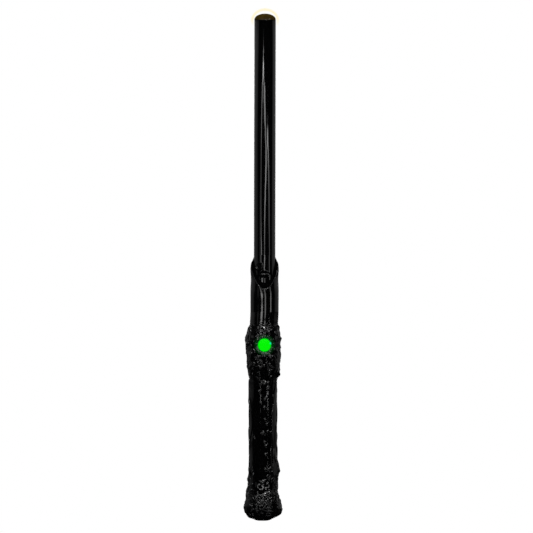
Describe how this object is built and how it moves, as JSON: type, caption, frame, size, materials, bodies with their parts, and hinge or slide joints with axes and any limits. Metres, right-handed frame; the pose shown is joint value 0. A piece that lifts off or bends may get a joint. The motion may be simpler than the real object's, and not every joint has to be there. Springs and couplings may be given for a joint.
{
  "type": "magic wand",
  "caption": "Light-up stage magic wand: glossy black barrel with a glowing smoky tip, gnarled two-shell handle, lit green push button and a screwed battery cover.",
  "frame": {"origin": "on the wand's axis at the middle of the grip, where the hand closes round it, 70 mm above the pommel's end", "axes": "+Z along the wand from the pommel to the glowing tip; the push button faces -Y; the battery cover faces +Y"},
  "size_m": [0.0269, 0.0269, 0.355],
  "materials": {
    "barrel_plastic": "high gloss black styrene",
    "handle_plastic": "high gloss black styrene, moulded gnarled texture",
    "smoky_lens": "smoky amber translucent acrylic, lit from inside",
    "led_warm": "warm LED epoxy",
    "led_green": "green LED epoxy",
    "lit_green": "translucent green, lit from inside",
    "tinned_metal": "bright tinned wire",
    "dark_plastic": "moulded, unpolished",
    "black_rubber": "matt",
    "clear_silicone": "milky silicone",
    "wire_red": "PVC insulation",
    "wire_black": "PVC insulation",
    "board_green": "solder mask",
    "capacitor_tan": "dipped ceramic",
    "screw_steel": "zinc plated",
    "cell_steel": "stamped steel can",
    "contact_brass": "spring brass strip",
    "red_fibre": "vulcanised fibre"
  },
  "bodies": {
    "wand": {"barrel_tube": "barrel_plastic", "tip_lens": "smoky_lens", "tip_led": "led_warm", "tip_led_leads": "tinned_metal", "tip_led_bush": "dark_plastic", "lead_sleeves": "black_rubber", "tip_wire_red": "wire_red", "tip_wire_black": "wire_black", "front_shell": "handle_plastic", "back_shell": "handle_plastic", "button_membrane": "clear_silicone", "button_led": "led_green", "circuit_board": "board_green", "controller_chip": "dark_plastic", "led_resistors": "dark_plastic", "board_capacitor": "capacitor_tan", "board_screw_1": "screw_steel", "board_screw_2": "screw_steel", "battery_cradle": "dark_plastic", "button_cell_1": "cell_steel", "button_cell_2": "cell_steel", "button_cell_3": "cell_steel", "cell_spring": "tinned_metal", "spring_plate": "contact_brass", "contact_plate": "contact_brass", "battery_wire_red": "wire_red", "battery_wire_black": "wire_black", "shell_screw_1": "screw_steel", "shell_screw_2": "screw_steel", "shell_screw_3": "screw_steel"},
    "button": {"button_cap": "lit_green", "contact_ring": "black_rubber"},
    "battery_door": {"battery_cover": "handle_plastic", "cover_screw_1": "screw_steel", "cover_screw_2": "screw_steel", "screw_retainer_1": "red_fibre", "screw_retainer_2": "red_fibre"}
  },
  "joints": [
    {"name": "button_press", "type": "slide", "parent": "wand", "child": "button", "axis": [0, 1, 0], "range_m": [0, 0.001], "stiffness_N_per_m": 800, "springref_m": -0.0003, "deforming": ["button_membrane"]},
    {"name": "cover_lift", "type": "slide", "parent": "wand", "child": "battery_door", "axis": [0, 1, 0], "range_m": [0, 0.02]}
  ]
}
